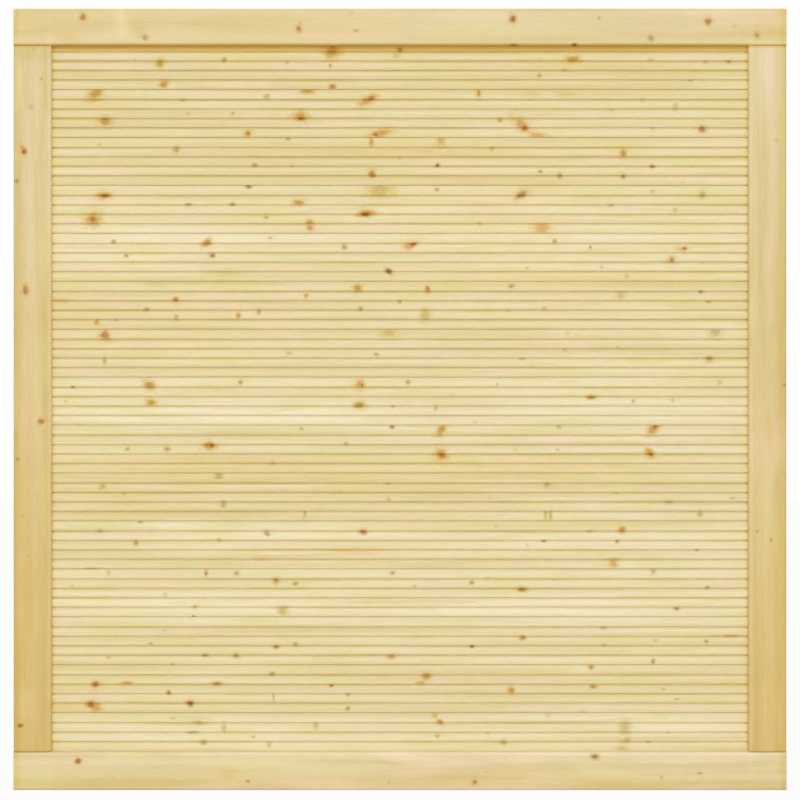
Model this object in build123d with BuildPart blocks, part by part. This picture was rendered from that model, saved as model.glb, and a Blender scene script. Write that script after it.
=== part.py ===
from build123d import *
import math
import os

# A framed fence panel: ribbed boards, tongued and grooved into each other, stand in a grooved
# timber frame whose stiles are tenoned into the rails and held by long screws.
# Millimetres. The origin is at the middle of the panel's foot, +Z is up and -Y is the ribbed front.

# Panel
PANEL_WIDTH = 1800.0
PANEL_HEIGHT = 1820.0

# Frame timbers
FRAME_THICKNESS = 45.0
TOP_RAIL_HEIGHT = 87.0
BOTTOM_RAIL_HEIGHT = 90.0
STILE_WIDTH = 89.0
FRAME_ARRIS_RADIUS = 6.0

# Groove round the inside of the frame, and the stub tenons that fill it at the corners
FRAME_GROOVE_DEPTH = 20.0
TENON_SIDE_CLEARANCE = 0.1
TENON_END_CLEARANCE = 0.5

# Boards: the uppermost rib of each is a little higher than the rest
BOARD_THICKNESS = 20.0
RIB_COUNT = 5
RIB_PITCH = 21.9
TOP_RIB_HEIGHT = 24.2
RIB_GROOVE_WIDTH = 5.2
RIB_GROOVE_FLOOR = 2.0
RIB_GROOVE_DEPTH = 3.5
RIB_ARRIS_BEVEL = 1.0
BACK_ARRIS_BEVEL = 1.5

# Joint between two boards: the back shoulders meet and the bevelled front lips stand a little apart
FRONT_JOINT_GAP = 0.3
JOINT_BEVEL = 1.8
TONGUE_LENGTH = 6.5
TONGUE_THICKNESS = 6.0
TONGUE_TIP_BEVEL = 1.0
TONGUE_SIDE_CLEARANCE = 0.2
TONGUE_END_CLEARANCE = 0.5

# Room for the boards to swell in the groove of the frame
BOARD_SIDE_CLEARANCE = 0.3
BOARD_END_CLEARANCE = 3.0
BOARD_TOP_CLEARANCE = 2.7

# Countersunk screws through the rails into the tenons of the stiles
SCREWS_PER_CORNER = 2
SCREW_EDGE_DISTANCE = 20.0
SCREW_LENGTH = 140.0
SCREW_RADIUS = 3.0
SCREW_TIP_LENGTH = 8.0
SCREW_HEAD_RADIUS = 6.0
SCREW_HEAD_ANGLE = 90.0
SCREW_HEAD_SINK = 1.0
SCREW_CLEARANCE = 0.1

# Frame, worked out from the sizes above
STILE_TOP = PANEL_HEIGHT - TOP_RAIL_HEIGHT
STILE_LENGTH = STILE_TOP - BOTTOM_RAIL_HEIGHT
FRAME_GROOVE_WIDTH = BOARD_THICKNESS + 2 * BOARD_SIDE_CLEARANCE
TENON_LENGTH = FRAME_GROOVE_DEPTH - TENON_END_CLEARANCE
TENON_WIDTH = STILE_WIDTH - FRAME_GROOVE_DEPTH
TENON_THICKNESS = FRAME_GROOVE_WIDTH - 2 * TENON_SIDE_CLEARANCE

# Boards: the top one is whole, and the lowest is ripped to what is left above the groove's floor
BOARD_COVER = TOP_RIB_HEIGHT + (RIB_COUNT - 1) * RIB_PITCH
BOARD_LENGTH = PANEL_WIDTH - 2 * (TENON_WIDTH + BOARD_END_CLEARANCE)
BOARD_FLOOR = BOTTOM_RAIL_HEIGHT - FRAME_GROOVE_DEPTH
TOP_SHOULDER = STILE_TOP + FRAME_GROOVE_DEPTH - BOARD_TOP_CLEARANCE - TONGUE_LENGTH
WHOLE_BOARD_COUNT = math.floor((TOP_SHOULDER - BOTTOM_RAIL_HEIGHT) / BOARD_COVER)
FIRST_JOINT = TOP_SHOULDER - WHOLE_BOARD_COUNT * BOARD_COVER
TONGUE_GROOVE_WIDTH = TONGUE_THICKNESS + 2 * TONGUE_SIDE_CLEARANCE
TONGUE_GROOVE_DEPTH = TONGUE_LENGTH + TONGUE_END_CLEARANCE
FRONT_LIP_WIDTH = (BOARD_THICKNESS - TONGUE_GROOVE_WIDTH) / 2

# Screws: evenly spaced across the tenon, with the head's cone a clearance away from its countersink
SCREW_HOLE_RADIUS = SCREW_RADIUS + SCREW_CLEARANCE
SCREW_HEAD_SLOPE = math.tan(math.radians(SCREW_HEAD_ANGLE / 2))
SCREW_HEAD_HEIGHT = (SCREW_HEAD_RADIUS - SCREW_RADIUS) / SCREW_HEAD_SLOPE
SCREW_SINK_RADIUS = SCREW_HEAD_RADIUS + SCREW_CLEARANCE + SCREW_HEAD_SINK * SCREW_HEAD_SLOPE
SCREW_REACH = SCREW_HEAD_SINK + SCREW_LENGTH + SCREW_CLEARANCE
SCREW_SPACING = (TENON_WIDTH - 2 * SCREW_EDGE_DISTANCE) / max(SCREWS_PER_CORNER - 1, 1)
FIRST_SCREW = PANEL_WIDTH / 2 - SCREW_EDGE_DISTANCE
SCREW_OFFSETS = [FIRST_SCREW - place * SCREW_SPACING for place in range(SCREWS_PER_CORNER)]
SCREW_PLACES = [side * offset for side in (-1, 1) for offset in SCREW_OFFSETS]

os.makedirs("parts", exist_ok=True)


def level(height, facing):
    """A horizontal plane at a height, facing up (1) or down (-1)."""
    return Plane((0, 0, height), x_dir=(1, 0, 0), z_dir=(0, 0, facing))


def make_rail(label, outer_edge, inner_edge):
    """A rail as long as the panel is wide, grooved in its inner edge and drilled from its outer one."""
    inward = math.copysign(1, inner_edge - outer_edge)
    with BuildPart() as rail:
        with BuildSketch(Plane.YZ.offset(-PANEL_WIDTH / 2)) as section:
            with Locations((0, (outer_edge + inner_edge) / 2)):
                Rectangle(FRAME_THICKNESS, abs(inner_edge - outer_edge))
            fillet(section.vertices(), FRAME_ARRIS_RADIUS)
            with Locations((0, inner_edge - inward * FRAME_GROOVE_DEPTH / 2)):
                Rectangle(FRAME_GROOVE_WIDTH, FRAME_GROOVE_DEPTH, mode=Mode.SUBTRACT)
        extrude(amount=PANEL_WIDTH)
        with Locations(level(outer_edge, -inward)):
            with Locations(*[(place, 0) for place in SCREW_PLACES]):
                CounterSinkHole(
                    SCREW_HOLE_RADIUS, SCREW_SINK_RADIUS, counter_sink_angle=SCREW_HEAD_ANGLE
                )
    rail.part.label = label
    export_step(rail.part, f"parts/{label}.step")


def make_stile(label, side):
    """A stile on the left (side -1) or the right (side 1), with a stub tenon in each rail's groove."""
    outer_edge = side * PANEL_WIDTH / 2
    inner_edge = outer_edge - side * STILE_WIDTH
    tenon_foot = BOTTOM_RAIL_HEIGHT - TENON_LENGTH
    tenon_head = STILE_TOP + TENON_LENGTH
    with BuildPart() as stile:
        with BuildSketch(Plane.XY.offset(BOTTOM_RAIL_HEIGHT)) as section:
            with Locations(((outer_edge + inner_edge) / 2, 0)):
                Rectangle(STILE_WIDTH, FRAME_THICKNESS)
            fillet(section.vertices(), FRAME_ARRIS_RADIUS)
            with Locations((inner_edge + side * FRAME_GROOVE_DEPTH / 2, 0)):
                Rectangle(FRAME_GROOVE_DEPTH, FRAME_GROOVE_WIDTH, mode=Mode.SUBTRACT)
        extrude(amount=STILE_LENGTH)
        with BuildSketch(Plane.XY.offset(tenon_foot)):
            with Locations((outer_edge - side * TENON_WIDTH / 2, 0)):
                Rectangle(TENON_WIDTH, TENON_THICKNESS)
        extrude(amount=tenon_head - tenon_foot)
        with Locations(level(tenon_foot, -1)):
            with Locations(*[(side * offset, 0) for offset in SCREW_OFFSETS]):
                Hole(SCREW_HOLE_RADIUS, depth=SCREW_REACH - tenon_foot)
        with Locations(level(tenon_head, 1)):
            with Locations(*[(side * offset, 0) for offset in SCREW_OFFSETS]):
                Hole(SCREW_HOLE_RADIUS, depth=SCREW_REACH - (PANEL_HEIGHT - tenon_head))
    stile.part.label = label
    export_step(stile.part, f"parts/{label}.step")


def make_board(label, foot, shoulder, grooved):
    """A ribbed board from its foot to its upper shoulder, with a tongue above that.

    A groove that the bottom rail would cover or cut across is left out.
    """
    rib_lines = [shoulder - TOP_RIB_HEIGHT - place * RIB_PITCH for place in range(RIB_COUNT - 1)]
    with BuildPart() as board:
        with BuildSketch(Plane.YZ.offset(-BOARD_LENGTH / 2)) as section:
            with Locations((0, (foot + shoulder) / 2)):
                Rectangle(BOARD_THICKNESS, shoulder - foot)
            if grooved:
                with Locations((0, foot + TONGUE_GROOVE_DEPTH / 2)):
                    Rectangle(TONGUE_GROOVE_WIDTH, TONGUE_GROOVE_DEPTH, mode=Mode.SUBTRACT)
                with Locations(((FRONT_LIP_WIDTH - BOARD_THICKNESS) / 2, foot + FRONT_JOINT_GAP / 2)):
                    Rectangle(FRONT_LIP_WIDTH, FRONT_JOINT_GAP, mode=Mode.SUBTRACT)
            for line in rib_lines:
                if line - RIB_GROOVE_WIDTH / 2 > BOTTOM_RAIL_HEIGHT:
                    with Locations((-BOARD_THICKNESS / 2, line)):
                        add(rib_groove.sketch, mode=Mode.SUBTRACT)
            front_corners = section.vertices().group_by(Axis.X)[0].sort_by(Axis.Y)
            chamfer(front_corners[1:-1], RIB_ARRIS_BEVEL)
            front_corners = section.vertices().group_by(Axis.X)[0].sort_by(Axis.Y)
            chamfer([front_corners[0], front_corners[-1]], JOINT_BEVEL)
            chamfer(section.vertices().group_by(Axis.X)[-1], BACK_ARRIS_BEVEL)
            with Locations((0, shoulder + TONGUE_LENGTH / 2)):
                Rectangle(TONGUE_THICKNESS, TONGUE_LENGTH)
            chamfer(section.vertices().group_by(Axis.Y)[-1], TONGUE_TIP_BEVEL)
        extrude(amount=BOARD_LENGTH)
    board.part.label = label
    export_step(board.part, f"parts/{label}.step")


# Frame
make_rail("bottom_rail", 0, BOTTOM_RAIL_HEIGHT)
make_rail("top_rail", PANEL_HEIGHT, STILE_TOP)
make_stile("left_stile", -1)
make_stile("right_stile", 1)

# Section of the groove between two ribs, cut into the front face of a board
with BuildSketch() as rib_groove:
    with BuildLine():
        Polyline(
            (0, RIB_GROOVE_WIDTH / 2),
            (RIB_GROOVE_DEPTH, RIB_GROOVE_FLOOR / 2),
            (RIB_GROOVE_DEPTH, -RIB_GROOVE_FLOOR / 2),
            (0, -RIB_GROOVE_WIDTH / 2),
            close=True,
        )
    make_face()

# Boards, from the foot up
make_board("board_01", BOARD_FLOOR, FIRST_JOINT, grooved=False)
for place in range(WHOLE_BOARD_COUNT):
    joint = FIRST_JOINT + place * BOARD_COVER
    make_board(f"board_{place + 2:02d}", joint, joint + BOARD_COVER, grooved=True)

# Corner screws: one screw, turned from its half section, set at every place along both rails
with BuildPart() as screw:
    with BuildSketch(Plane.XZ):
        with BuildLine():
            Polyline(
                (0, 0),
                (SCREW_HEAD_RADIUS, 0),
                (SCREW_RADIUS, -SCREW_HEAD_HEIGHT),
                (SCREW_RADIUS, SCREW_TIP_LENGTH - SCREW_LENGTH),
                (0, -SCREW_LENGTH),
                close=True,
            )
        make_face()
    revolve(axis=Axis.Z)

with BuildPart() as corner_screws:
    for height, facing in ((SCREW_HEAD_SINK, -1), (PANEL_HEIGHT - SCREW_HEAD_SINK, 1)):
        with Locations(level(height, facing)):
            with Locations(*[(place, 0) for place in SCREW_PLACES]):
                add(screw.part)
corner_screws.part.label = "corner_screws"
export_step(corner_screws.part, "parts/corner_screws.step")
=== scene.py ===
import collections
import math
import random

import bmesh
import bpy
import numpy as np
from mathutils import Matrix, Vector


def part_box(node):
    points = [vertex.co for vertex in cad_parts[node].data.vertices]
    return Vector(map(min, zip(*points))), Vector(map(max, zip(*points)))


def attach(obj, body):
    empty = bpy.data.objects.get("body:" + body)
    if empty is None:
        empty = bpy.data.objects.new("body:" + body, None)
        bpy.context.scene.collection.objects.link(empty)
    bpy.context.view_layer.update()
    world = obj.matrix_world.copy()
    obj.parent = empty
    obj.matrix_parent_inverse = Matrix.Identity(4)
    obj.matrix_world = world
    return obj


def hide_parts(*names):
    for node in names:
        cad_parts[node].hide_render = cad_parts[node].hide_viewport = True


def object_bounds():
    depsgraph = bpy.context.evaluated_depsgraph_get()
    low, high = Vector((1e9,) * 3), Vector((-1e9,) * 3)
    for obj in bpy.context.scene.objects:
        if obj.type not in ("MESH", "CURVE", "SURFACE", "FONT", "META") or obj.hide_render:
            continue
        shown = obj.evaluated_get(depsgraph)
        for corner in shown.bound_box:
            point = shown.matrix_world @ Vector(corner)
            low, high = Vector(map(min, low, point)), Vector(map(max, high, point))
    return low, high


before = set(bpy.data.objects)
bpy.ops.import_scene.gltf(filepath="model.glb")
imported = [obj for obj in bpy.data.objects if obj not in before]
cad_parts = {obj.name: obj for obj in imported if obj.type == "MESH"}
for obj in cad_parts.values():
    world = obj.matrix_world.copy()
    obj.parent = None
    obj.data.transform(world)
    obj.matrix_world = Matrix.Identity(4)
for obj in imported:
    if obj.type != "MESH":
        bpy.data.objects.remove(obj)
cad_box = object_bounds()

# A framed fence panel of ribbed softwood boards, in metres: +X to the right, +Z up, -Y the ribbed front.

# Photograph: its scale, and the pixel that shows the middle of the panel's foot
METRES_PER_PIXEL = 0.0023277
FOOT_COLUMN = 400.0
FOOT_ROW = 790.27
IMAGE_SIZE = 800
CAMERA_DISTANCE = 7.0
SENSOR_WIDTH = 36.0

# Frame
BODY = "root"
FRAME_NODES = ("top_rail", "bottom_rail", "left_stile", "right_stile")
BOARD_NODES = sorted(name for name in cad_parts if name.startswith("board_"))
OPENING_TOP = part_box("top_rail")[0].z
OPENING_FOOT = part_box("bottom_rail")[1].z
OPENING_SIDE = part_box("right_stile")[0].x
BOARD_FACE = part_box("board_01")[0].y

# Board section, as the solids have it
RIB_COUNT = 5
RIB_PITCH = 0.0219
TOP_RIB_HEIGHT = 0.0242
RIB_GROOVE_WIDTH = 0.0052
RIB_GROOVE_FLOOR = 0.002
RIB_GROOVE_DEPTH = 0.0035
RIB_ARRIS = 0.001
BACK_ARRIS = 0.0015
FRONT_JOINT_GAP = 0.0003
JOINT_BEVEL = 0.0018
TONGUE_LENGTH = 0.0065
TONGUE_THICKNESS = 0.006
TONGUE_TIP_BEVEL = 0.001
TONGUE_GROOVE_WIDTH = 0.0064
TONGUE_GROOVE_DEPTH = 0.007

# How the moulding cutter wandered along a board
STATION_SPACING = 0.0095
GROOVE_WANDER = 0.00022
GROOVE_DEPTH_CHANGE = 0.00025
WAVE_COUNT = 4
WAVE_PACE = (2, 24)
WAVE_WEIGHT = (0.3, 1)

# Screws: head, star recess, shank and thread
SCREW_SPACING = 0.029
SCREW_LENGTH = 0.14
SCREW_RADIUS = 0.003
SCREW_SHANK_RADIUS = 0.0026
SCREW_CORE_RADIUS = 0.002
SCREW_HEAD_RADIUS = 0.006
SCREW_HEAD_HEIGHT = 0.0032
SCREW_HEAD_EASE = 0.0002
SCREW_THREAD_START = 0.055
SCREW_PITCH = 0.0032
SCREW_RIDGE_SHARE = 0.4
SCREW_STEP = 0.0005
SCREW_TIP_LENGTH = 0.009
SCREW_TIP_EASE = 0.0008
SCREW_SIDES = 18
STAR_POINTS = 6
STAR_RADIUS = 0.0024
STAR_LOBE = 0.00035
STAR_TAPER = 0.92
STAR_DEPTH = 0.0024
STAR_EASE = 0.0001

# Meshes
BOARD_CELL = 0.007
FRAME_CELL = 0.012
WELD_DISTANCE = 1e-6
ARRIS_STEPS = 3
FLOOR_ARRIS = 0.0004
SHARP_ANGLE = 40.0
FAR = 1000.0

# Where a branch comes out at the back: how far away at most, its share of the front's size, its turn
BACK_KNOT_SHIFT = 0.025
BACK_KNOT_SIZE = (0.6, 1.3)
BACK_KNOT_LEAN = 0.5

# Knots seen on the front: column, row, width and height in the photograph's pixels, lean in degrees
KNOTS = {
    "deep": [
        (595, 756.6, 6, 4.5), (437.5, 165, 4.5, 3.5), (248, 185.6, 6, 4), (212, 255.5, 5, 4),
        (472, 646.9, 4, 2.5), (331.4, 686.4, 4, 2), (574.4, 44.8, 5, 3), (388.8, 271, 7.5, 5, -45),
    ],
    "dark": [
        (651, 38, 6, 6), (145, 38, 5, 5), (757, 35.5, 5, 5), (514, 45, 8, 3), (17, 181, 4, 4),
        (17.6, 459, 3.5, 3.5), (757, 531.5, 2.5, 3), (771, 539.7, 3, 3.5), (784, 385, 3, 4),
        (248, 781.5, 4, 3), (700, 773.2, 4, 2), (224, 59, 4, 4), (729.5, 61, 5, 3), (330, 65, 3, 3),
        (540, 75, 3.5, 3), (232.7, 113, 3, 2), (500, 120, 4, 3), (288, 138, 4, 4), (254.6, 164.5, 4.5, 3.5),
        (540.6, 171, 3.5, 3), (560, 175.4, 4.5, 5), (437, 189, 4, 3), (188, 204, 6, 2.5), (232, 204, 4.5, 3),
        (266, 217, 4, 3), (554.7, 241, 4, 4), (113, 241, 4, 3), (344, 246.6, 4, 4.5, 50), (590.7, 247, 3, 3),
        (126, 255.5, 3.5, 3), (511.6, 285.7, 5.5, 3.5), (701, 291.6, 4.5, 3), (400, 301.4, 3, 3),
        (709, 301.7, 4.5, 2), (360.5, 308.4, 4.5, 3.5), (146, 309, 5, 3), (258.4, 312, 3, 5),
        (376, 354, 4, 3), (710, 359, 8, 5), (408, 382, 4.5, 4), (240, 382.4, 4, 4), (72, 387, 4, 2.5),
        (127.3, 448.7, 4, 3), (166.8, 449, 5, 4), (140, 521.6, 5, 3), (267, 534, 4.5, 6, 60),
        (617.6, 541.6, 3.5, 3), (135.5, 543.2, 4, 4), (236.4, 573.5, 4.5, 4), (392.6, 573.7, 4, 3),
        (472, 583, 4.5, 4), (295.4, 584, 5, 3.5), (707.8, 587.9, 4, 3), (706.9, 642, 4, 3.5),
        (295.7, 644.6, 4.5, 3), (204.5, 655.7, 6, 3), (236, 656, 6, 4), (653.6, 662, 3, 5),
        (272, 674, 4.5, 3.5), (347.7, 709, 3.5, 4),
    ],
    "brown": [
        (41.5, 79, 3, 3), (134.6, 59, 2.5, 2), (182, 100, 5, 2.5), (492, 148.4, 5, 4), (480, 223, 5, 2.5),
        (544.5, 308, 3.5, 3), (565, 350, 4, 3), (392.9, 406.4, 3, 2.5), (345.8, 444, 3.5, 4),
        (669.5, 502, 7, 3), (590, 531.6, 6, 2), (697.6, 550.5, 4, 2), (107.8, 658, 5, 2.5),
        (732.7, 498.2, 4, 2), (677.8, 699.5, 5, 2), (176.5, 149.5, 4, 4), (661.2, 777, 3, 4),
        (603.8, 628.6, 5, 2.6), (603.8, 645.3, 4, 2),
    ],
    "red": [
        (83, 17, 7, 7), (298.6, 28.5, 6, 6), (708, 21.7, 7, 7), (25.3, 290, 6, 9), (41.5, 421.4, 7, 6),
        (474.6, 781.8, 5, 5), (332, 86, 6, 4.5), (702.7, 128.6, 7, 7), (653, 166, 5, 3), (372, 173.7, 7, 7),
        (623.6, 176, 5, 4), (522, 194, 12, 7, 30), (427.8, 288.6, 5, 6.5), (175.4, 299.5, 6, 5),
        (104.6, 335, 10, 9), (392, 426.8, 5, 5), (363.3, 532.4, 5.5, 7, 80), (544, 541.3, 5, 2.5),
        (205.7, 573.7, 3, 5), (522.2, 589.8, 7.5, 4.5), (677.2, 609.2, 5, 3), (193, 616.6, 3.5, 2),
        (276, 647.2, 6, 4), (216.3, 684.2, 8, 4), (168.4, 693, 4, 4), (400, 49, 5, 6),
        (371.3, 97.4, 7, 4.5, 25), (301, 118, 8, 4.5), (525, 127.5, 6.5, 5, -40), (655.5, 427.3, 6, 4, 45),
        (651.5, 454.6, 5, 4, -45), (90, 705, 8, 7, -30), (94.5, 685, 8, 6.5), (211.5, 446, 4.5, 4.5),
        (376, 134.3, 6, 3.5), (413, 243.8, 6, 3.5, 20), (104, 195, 8, 4.5), (92, 218.5, 6, 5.5),
        (248, 133, 4.5, 4), (441.5, 455, 7, 5, -30), (362, 385, 4, 3.5), (685, 248, 4.5, 3.5),
        (672.5, 260, 4.5, 4.5, -40),
    ],
    "rust": [
        (78, 761.2, 6.5, 5.5), (190, 704, 7, 5.5), (24, 152, 5, 6), (20.4, 725.6, 6.5, 4), (513, 19, 7, 8),
        (365, 214, 10, 4.5),
    ],
    "amber": [
        (332, 51, 13, 11), (573, 58.7, 13, 6), (159.7, 62.5, 7, 7), (163.5, 83.5, 8, 7), (95, 93, 14, 9, 35),
        (300, 116, 13, 8), (105, 120.5, 11, 8), (623.6, 153, 6, 7), (103, 195, 13, 6), (92.5, 219, 13, 11),
        (206.4, 242.7, 10, 6, 25), (357.5, 288, 8, 7), (148.6, 385, 10, 7, -35), (592, 397.4, 8, 4),
        (150.5, 402.3, 8, 6), (359.2, 405, 9, 6), (653.6, 429.3, 11, 8, 45), (208.7, 445.7, 11, 7),
        (649.7, 453, 8, 6, -45), (622.3, 529.8, 7, 6), (91.2, 569.4, 14, 2.5), (275.6, 581, 6, 5),
        (523, 638, 6, 4.5), (591.3, 667.6, 4.5, 4.5), (426.8, 676.5, 9, 6), (593.2, 687.4, 6, 3),
        (511.6, 690.8, 6, 6.5), (442, 429.3, 11, 6, 50), (479, 92.5, 4, 7), (298, 202, 10, 5),
        (307.7, 90.6, 12, 5), (441, 454.5, 11, 9, -40), (367, 212.6, 14, 6),
    ],
    "flame": [
        (309.7, 222, 7, 5), (306, 295.7, 4, 4), (96, 322.4, 5, 5), (238, 315.4, 4.5, 6.5),
        (391.3, 656.8, 8, 4), (126.3, 683.5, 10, 3), (367.5, 99.5, 16, 7, 30), (522, 124, 16, 9, -40),
        (380, 133, 19, 6.5, 12), (371, 141.5, 4, 8), (440, 722.5, 8, 5, -50), (309.7, 227, 7, 6),
        (22.5, 148.5, 4, 6, 20), (94, 707.5, 13, 9, -25), (410.5, 245.4, 12, 6, 20), (360, 384, 9, 7),
    ],
    "honey": [
        (380, 190, 22, 12), (388.8, 332.7, 13, 7), (421, 683.5, 9, 6), (435, 716, 8, 5, -55),
        (198.5, 723.3, 10, 4), (282.7, 611.5, 9, 9), (425.5, 315, 9, 10), (247.5, 133, 9, 8),
    ],
    "olive": [
        (356, 30.6, 5, 3), (599, 18, 3, 3), (266.7, 96, 6, 5, 30), (176, 149.5, 6, 6), (175.8, 317, 4, 5),
        (104, 361, 4, 7), (633.8, 401, 3, 3), (435.7, 408.3, 3, 4), (558.8, 426.8, 4, 3),
        (301.4, 429.3, 3.5, 3), (218.5, 476, 8, 7), (547.3, 485.2, 6, 4), (102, 486.7, 7, 5, 45),
        (223, 504.6, 6, 7), (304.6, 514.2, 3, 6), (700.8, 514.2, 4, 5), (219, 540, 4, 2.5),
        (653.6, 571.6, 5, 5), (194.5, 607, 5, 2.5), (150.5, 644, 5, 2.5), (172.2, 664.8, 4, 2),
        (348, 695.4, 4, 2.5), (273.3, 698.2, 2, 6), (192.6, 733, 9, 2.5), (437.6, 736.7, 4, 3),
        (627.4, 740.7, 5, 4), (203.2, 743, 6, 4), (504, 743, 5, 4), (648.5, 742.2, 4, 2), (546, 515, 2.8, 8),
        (550.6, 515.5, 2.8, 8), (702.7, 194, 6, 7), (716, 332, 12, 7),
    ],
    "orange": [
        (441, 140, 8, 10), (542, 228, 14, 9.5), (614, 563.3, 8, 7), (538, 134.8, 16, 5, -10),
        (731.4, 636.2, 12, 2.5),
    ],
    "pale": [
        (33, 49, 3, 3), (31, 107, 5, 5), (776.7, 141, 4, 4), (22.3, 516.3, 4, 2), (28.3, 555.6, 4, 4),
        (113, 778.3, 3, 2), (388.8, 782.4, 2.5, 2.5), (396, 55, 6, 4), (651, 59, 5, 3), (287, 62, 3, 3),
        (565, 69, 4, 3), (676, 106, 4, 7), (187.5, 113, 4, 3), (399.5, 157.5, 3, 2), (292, 165.6, 3, 3),
        (653, 191, 5, 3), (611.5, 205, 5, 2.5), (270, 237.6, 4, 3), (527, 267.6, 3, 2), (627, 276, 4, 5),
        (618.5, 347, 3, 2), (288.6, 353, 5, 4), (720, 382, 4.5, 4), (497, 384, 3, 2), (65, 401, 3, 2),
        (78.4, 425.3, 4, 2), (123, 493.8, 4, 2), (617.2, 493.8, 4, 1.5), (388.8, 499.5, 4, 4),
        (108.2, 572.8, 4, 4), (71.4, 586.5, 3, 2), (414.7, 587, 3, 2), (164.5, 630.6, 4, 1.5),
        (656, 641, 4, 2), (663.8, 689.3, 4, 2), (171.6, 718.4, 6, 1.5), (668.2, 733.3, 3, 1.5),
        (488, 734, 3, 1.5), (300, 23, 2, 3), (706, 61.5, 4, 3), (691.6, 80, 5, 2.5), (602, 267, 3.5, 3),
        (115, 320, 4, 2.5), (522, 359, 5, 2), (272, 463, 4.5, 3), (388, 483.5, 5, 2.5), (557.5, 449.7, 4, 2),
        (99.2, 531, 5, 3.5), (315.4, 726.3, 4, 6), (253.2, 737.5, 3.5, 2.5), (269, 745.4, 4, 5),
        (653, 128, 4, 3), (676, 210, 3.5, 3.5), (621.7, 749.2, 10, 4), (99, 144, 3.5, 3),
        (223.6, 728.8, 4, 8), (625.5, 727.5, 8, 10), (673, 400, 3, 3), (621, 295, 8, 6), (682, 248.5, 9, 4),
        (671.5, 259.5, 8, 5),
    ],
    "faint": [
        (352, 13, 4, 3), (735, 26, 5, 4), (36, 133, 3, 3), (485.5, 772.2, 6, 2), (643, 99, 4, 4),
        (612, 110, 5, 3), (683.5, 182, 3, 2), (568, 333, 5, 4), (453.6, 395, 3, 2), (475, 422.3, 3, 3),
        (515.4, 449.5, 5, 4), (340.3, 491.6, 4, 2), (489.3, 497.6, 4, 3), (496.3, 526.3, 3, 3),
        (527.5, 545.4, 3, 3), (487.4, 578.6, 4, 2), (164.8, 594.5, 4, 5), (114.8, 635.5, 4, 1.5),
        (583, 712.2, 6, 3), (548.6, 715.4, 5, 4), (694, 70.5, 6, 2), (508, 310, 4, 3),
    ],
}


def paint(red, green, blue):
    """A colour given in screen values from 0 to 255, as the linear colour that nodes take."""
    linear = []
    for value in (red, green, blue):
        share = value / 255
        linear.append(share / 12.92 if share <= 0.04045 else ((share + 0.055) / 1.055) ** 2.4)
    return (*linear, 1.0)


# Tones of a knot: its heart, the stained wood round it, how strongly that shows and how solid the heart is
KNOT_TONES = {
    "deep": (paint(116, 86, 20), paint(214, 172, 98), 0.6, 0.86),
    "dark": (paint(138, 108, 36), paint(208, 178, 108), 0.45, 0.58),
    "brown": (paint(146, 116, 46), paint(216, 186, 116), 0.35, 0.36),
    "red": (paint(152, 90, 22), paint(226, 176, 98), 0.5, 0.74),
    "rust": (paint(138, 70, 14), paint(226, 172, 92), 0.55, 0.86),
    "amber": (paint(178, 130, 28), paint(224, 186, 98), 0.65, 0.78),
    "flame": (paint(188, 136, 56), paint(230, 188, 110), 0.6, 0.75),
    "honey": (paint(200, 168, 76), paint(224, 200, 120), 0.5, 0.65),
    "olive": (paint(176, 154, 66), paint(214, 195, 116), 0.5, 0.6),
    "orange": (paint(210, 162, 90), paint(230, 194, 122), 0.6, 0.78),
    "pale": (paint(192, 164, 100), paint(218, 196, 134), 0.45, 0.45),
    "faint": (paint(200, 174, 112), paint(222, 200, 140), 0.3, 0.28),
}
KNOT_LAYERS = {
    "stain": ("amber", "flame", "honey", "olive", "orange", "pale", "faint"),
    "knot": ("deep", "dark", "brown", "red", "rust"),
}
Knot = collections.namedtuple("Knot", "tone x z half_x half_z lean")

# Wood tones: early wood at its palest, middle and deepest, and late wood
BOARD_WOOD = (paint(243, 230, 188), paint(237, 223, 175), paint(230, 212, 158), paint(209, 175, 112))
FRAME_WOOD = (paint(234, 217, 172), paint(229, 210, 160), paint(222, 199, 142), paint(204, 168, 104))
STILE_FOOT_TINT = paint(244, 231, 192)
WOOD_SHEEN = 0.2
GREEN_PATCH = paint(231, 221, 156)
PINK_PATCH = paint(244, 220, 184)
END_GRAIN_TONE = paint(206, 170, 108)

# Broad soft changes of tone, with painted highlights along some arrises among them, each multiplying the
# wood's own colour, and how steeply they fade
WASH_FALL = 3
WASH_TONES = {
    "white": (1.1, 1.13, 1.25),
    "pale": (1.05, 1.07, 1.16),
    "light": (1.012, 1.022, 1.07),
    "cream": (0.995, 0.98, 0.93),
    "pink": (1.01, 0.98, 1.0),
    "yellow": (0.98, 0.95, 0.82),
    "olive": (0.92, 0.9, 0.74),
    "orange": (0.99, 0.89, 0.72),
}
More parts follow.
